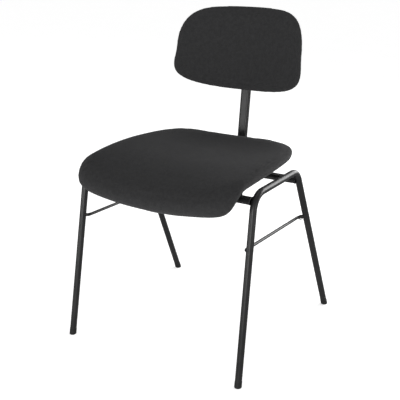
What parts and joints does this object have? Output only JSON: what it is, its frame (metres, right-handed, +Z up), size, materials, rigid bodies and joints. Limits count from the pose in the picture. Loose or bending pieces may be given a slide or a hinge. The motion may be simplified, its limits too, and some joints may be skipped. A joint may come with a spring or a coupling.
{
  "type": "choir chair",
  "caption": "Armless stacking chair with bent round-tube side frames, side rods, a moulded upholstered seat with a falling front and a curved upholstered backrest on a central bar.",
  "frame": {"origin": "on the floor, midway between the four feet", "axes": "+Z up, the sitter faces -Y, +X is the side on the right when the chair is seen from its front"},
  "size_m": [0.545, 0.5668, 0.8662],
  "materials": {
    "frame_powder_coat": "satin black powder coat",
    "upholstery_fabric": "fine charcoal weave",
    "underside_lining": "thin black non-woven lining",
    "moulded_plywood": "bare beech plywood",
    "foam": "cut polyurethane foam",
    "black_plastic": "matt moulded nylon",
    "zinc_steel": "bright zinc plating",
    "black_screws": "black oxide"
  },
  "bodies": {
    "root": {"side_frame_left": "frame_powder_coat", "side_frame_right": "frame_powder_coat", "side_rod_left": "frame_powder_coat", "side_rod_right": "frame_powder_coat", "front_cross_tube": "frame_powder_coat", "rear_cross_tube": "frame_powder_coat", "backrest_bar": "frame_powder_coat", "backrest_bar_plug": "black_plastic", "front_left_glide": "black_plastic", "front_right_glide": "black_plastic", "rear_left_glide": "black_plastic", "rear_right_glide": "black_plastic", "seat_shell": "moulded_plywood", "seat_foam": "foam", "seat_cover": "upholstery_fabric", "seat_lining": "underside_lining", "seat_screws": "black_screws", "seat_screw_washers": "black_screws", "seat_tee_nuts": "zinc_steel", "seat_spacers": "black_plastic", "seat_buffers": "black_plastic", "backrest_shell": "moulded_plywood", "backrest_foam": "foam", "backrest_cover": "upholstery_fabric", "backrest_screws": "black_screws", "backrest_screw_washers": "black_screws", "backrest_tee_nuts": "zinc_steel"}
  },
  "joints": []
}
